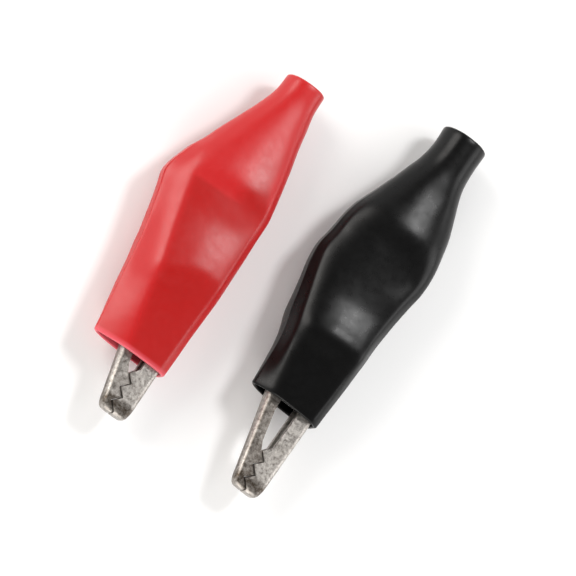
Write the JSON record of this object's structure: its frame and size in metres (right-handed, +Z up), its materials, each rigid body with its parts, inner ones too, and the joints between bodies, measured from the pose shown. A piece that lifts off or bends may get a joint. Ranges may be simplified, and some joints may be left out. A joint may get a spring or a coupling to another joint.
{
  "type": "insulated alligator clip pair",
  "caption": "Matched red and black insulated alligator clips with sprung toothed jaws and sliding soft boots, lying on their sides.",
  "frame": {"origin": "centre of the pair's footprint, on the surface that both clips lie on", "axes": "+Z up, +Y along the boots from the jaw tips to the necks, red clip at -X and black clip at +X"},
  "size_m": [0.0316, 0.0484, 0.0078],
  "materials": {
    "nickel_plate": "satin nickel plate",
    "rivet_steel": "satin",
    "spring_steel": "drawn wire",
    "red_vinyl": "soft gloss",
    "black_vinyl": "soft gloss"
  },
  "bodies": {
    "red_clip": {"red_lower_jaw": "nickel_plate", "red_pivot_rivet": "rivet_steel", "red_torsion_spring": "spring_steel"},
    "red_jaw": {"red_upper_jaw": "nickel_plate"},
    "red_boot": {"red_boot_sleeve": "red_vinyl"},
    "red_flap": {"red_boot_flap": "red_vinyl"},
    "black_clip": {"black_lower_jaw": "nickel_plate", "black_pivot_rivet": "rivet_steel", "black_torsion_spring": "spring_steel"},
    "black_jaw": {"black_upper_jaw": "nickel_plate"},
    "black_boot": {"black_boot_sleeve": "black_vinyl"},
    "black_flap": {"black_boot_flap": "black_vinyl"}
  },
  "joints": [
    {"name": "red_jaw_hinge", "type": "hinge", "parent": "red_clip", "child": "red_jaw", "pos_m": [-0.00759, -0.00564, 0.00385], "axis": [0, 0, -1], "range_deg": [0, 20], "stiffness_Nm_per_rad": 0.035, "springref_deg": -114.59, "deforming": ["red_torsion_spring", "red_boot_sleeve", "red_boot_flap"]},
    {"name": "red_boot_slide", "type": "slide", "parent": "red_clip", "child": "red_boot", "axis": [-0.0138, 0.9999, 0], "range_m": [0, 0.028], "deforming": ["red_boot_sleeve", "red_boot_flap"]},
    {"name": "red_flap_hinge", "type": "hinge", "parent": "red_boot", "child": "red_flap", "pos_m": [-0.00759, -0.00564, 0.00385], "axis": [0, 0, -1], "range_deg": [0, 20], "deforming": ["red_boot_sleeve", "red_boot_flap"]},
    {"name": "black_lift_off", "type": "slide", "parent": "red_clip", "child": "black_clip", "axis": [0, 0, 1], "range_m": [0, 0.03]},
    {"name": "black_jaw_hinge", "type": "hinge", "parent": "black_clip", "child": "black_jaw", "pos_m": [0.00999, -0.0036, 0.00385], "axis": [0, 0, -1], "range_deg": [0, 20], "stiffness_Nm_per_rad": 0.035, "springref_deg": -114.59, "deforming": ["black_torsion_spring", "black_boot_sleeve", "black_boot_flap"]},
    {"name": "black_boot_slide", "type": "slide", "parent": "black_clip", "child": "black_boot", "axis": [0.0138, 0.9999, 0], "range_m": [0, 0.028], "deforming": ["black_boot_sleeve", "black_boot_flap"]},
    {"name": "black_flap_hinge", "type": "hinge", "parent": "black_boot", "child": "black_flap", "pos_m": [0.00999, -0.0036, 0.00385], "axis": [0, 0, -1], "range_deg": [0, 20], "deforming": ["black_boot_sleeve", "black_boot_flap"]}
  ],
  "couplings": [
    {"joint": "red_flap_hinge", "follows": "red_jaw_hinge", "ratio": 1},
    {"joint": "black_flap_hinge", "follows": "black_jaw_hinge", "ratio": 1}
  ]
}
